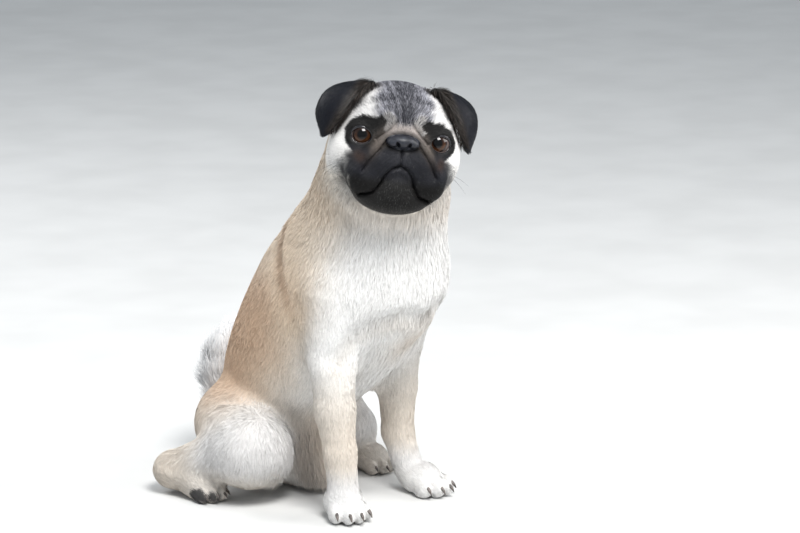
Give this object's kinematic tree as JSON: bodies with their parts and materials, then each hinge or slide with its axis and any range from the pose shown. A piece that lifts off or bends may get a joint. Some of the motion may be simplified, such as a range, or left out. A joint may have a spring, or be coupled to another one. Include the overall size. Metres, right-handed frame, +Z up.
{
  "type": "sitting pug dog",
  "caption": "Life-size still model of a pug sitting upright with its head turned a little to its right, fawn coat, black mask and folded ears.",
  "frame": {"origin": "centre of the bounding box at floor level", "axes": "+Z up, the dog faces -Y, its right side is at -X"},
  "size_m": [0.2382, 0.3422, 0.4138],
  "materials": {
    "fawn_coat": "short fur",
    "cream_coat": "short fur",
    "black_coat": "short velvety fur",
    "white_hair": "longer hair",
    "nose_leather": "moist, pebbled",
    "eye": "glossy"
  },
  "bodies": {
    "root": {"head": "fawn_coat", "neck": "cream_coat", "torso": "fawn_coat", "tail": "white_hair", "tail_curl": "white_hair", "ear_right": "black_coat", "ear_left": "black_coat", "eye_right": "eye", "eye_left": "eye", "nose": "nose_leather", "foreleg_right": "cream_coat", "foreleg_left": "cream_coat", "forepaw_right": "cream_coat", "forepaw_left": "cream_coat", "hindleg_right": "fawn_coat", "hindleg_left": "fawn_coat", "hindpaw_right": "cream_coat", "hindpaw_left": "cream_coat"}
  },
  "joints": []
}
